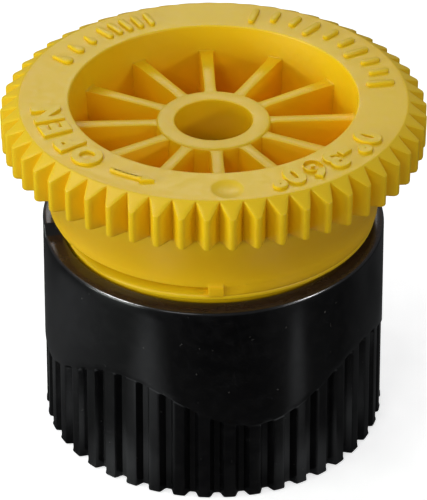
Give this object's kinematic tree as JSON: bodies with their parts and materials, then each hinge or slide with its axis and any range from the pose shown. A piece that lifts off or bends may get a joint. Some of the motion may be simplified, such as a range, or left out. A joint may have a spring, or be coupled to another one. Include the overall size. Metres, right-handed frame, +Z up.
{
  "type": "adjustable arc spray nozzle for a pop-up sprinkler",
  "caption": "Pop-up sprinkler spray nozzle: a knurled yellow arc-adjusting deflector on a ribbed black collar that screws on the riser, with a radius screw.",
  "frame": {"origin": "centre of the collar's bottom face, where it rests and where the riser enters", "axes": "+Z up the riser axis, towards the deflector's top face; -Y is the front, where the arc's moving edge tab stands at rest"},
  "size_m": [0.0238, 0.0238, 0.0208],
  "materials": {
    "black_collar": "glossy black moulded plastic",
    "yellow_seat": "satin yellow moulded plastic",
    "yellow_deflector": "satin yellow moulded plastic",
    "black_port_plate": "black moulded acetal",
    "white_washer": "natural low-friction plastic",
    "steel_spring": "stainless spring strip",
    "steel_clip": "stainless spring wire",
    "steel_screw": "stainless steel, turned",
    "black_disc": "black moulded acetal",
    "gasket_rubber": "matte black rubber"
  },
  "bodies": {
    "nozzle_base": {"base_collar": "black_collar", "seat_ring": "yellow_seat", "port_plate_and_post": "black_port_plate", "retaining_clip": "steel_clip", "riser_gasket": "gasket_rubber"},
    "lift_stack": {"thrust_washer": "white_washer", "wave_spring": "steel_spring"},
    "deflector": {"arc_deflector": "yellow_deflector"},
    "screw": {"radius_screw": "steel_screw"},
    "throttle": {"throttle_disc": "black_disc"}
  },
  "joints": [
    {"name": "arc_lift", "type": "slide", "parent": "nozzle_base", "child": "lift_stack", "axis": [0, 0, 1], "range_m": [-0.0000778, 0.0005872], "deforming": ["wave_spring"]},
    {"name": "arc_turn", "type": "hinge", "parent": "lift_stack", "child": "deflector", "pos_m": [0, 0, 0.0206], "axis": [0, 0, 1], "range_deg": [-40, 302]},
    {"name": "screw_turn", "type": "hinge", "parent": "nozzle_base", "child": "screw", "pos_m": [0, 0, 0.0169], "axis": [0, 0, -1], "range_deg": [0, 1260]},
    {"name": "throttle_rise", "type": "slide", "parent": "nozzle_base", "child": "throttle", "axis": [0, 0, 1], "range_m": [0, 0.0014]}
  ],
  "couplings": [
    {"joint": "arc_turn", "follows": "arc_lift", "rad_per_m": 8976},
    {"joint": "screw_turn", "follows": "throttle_rise", "rad_per_m": 15708}
  ]
}
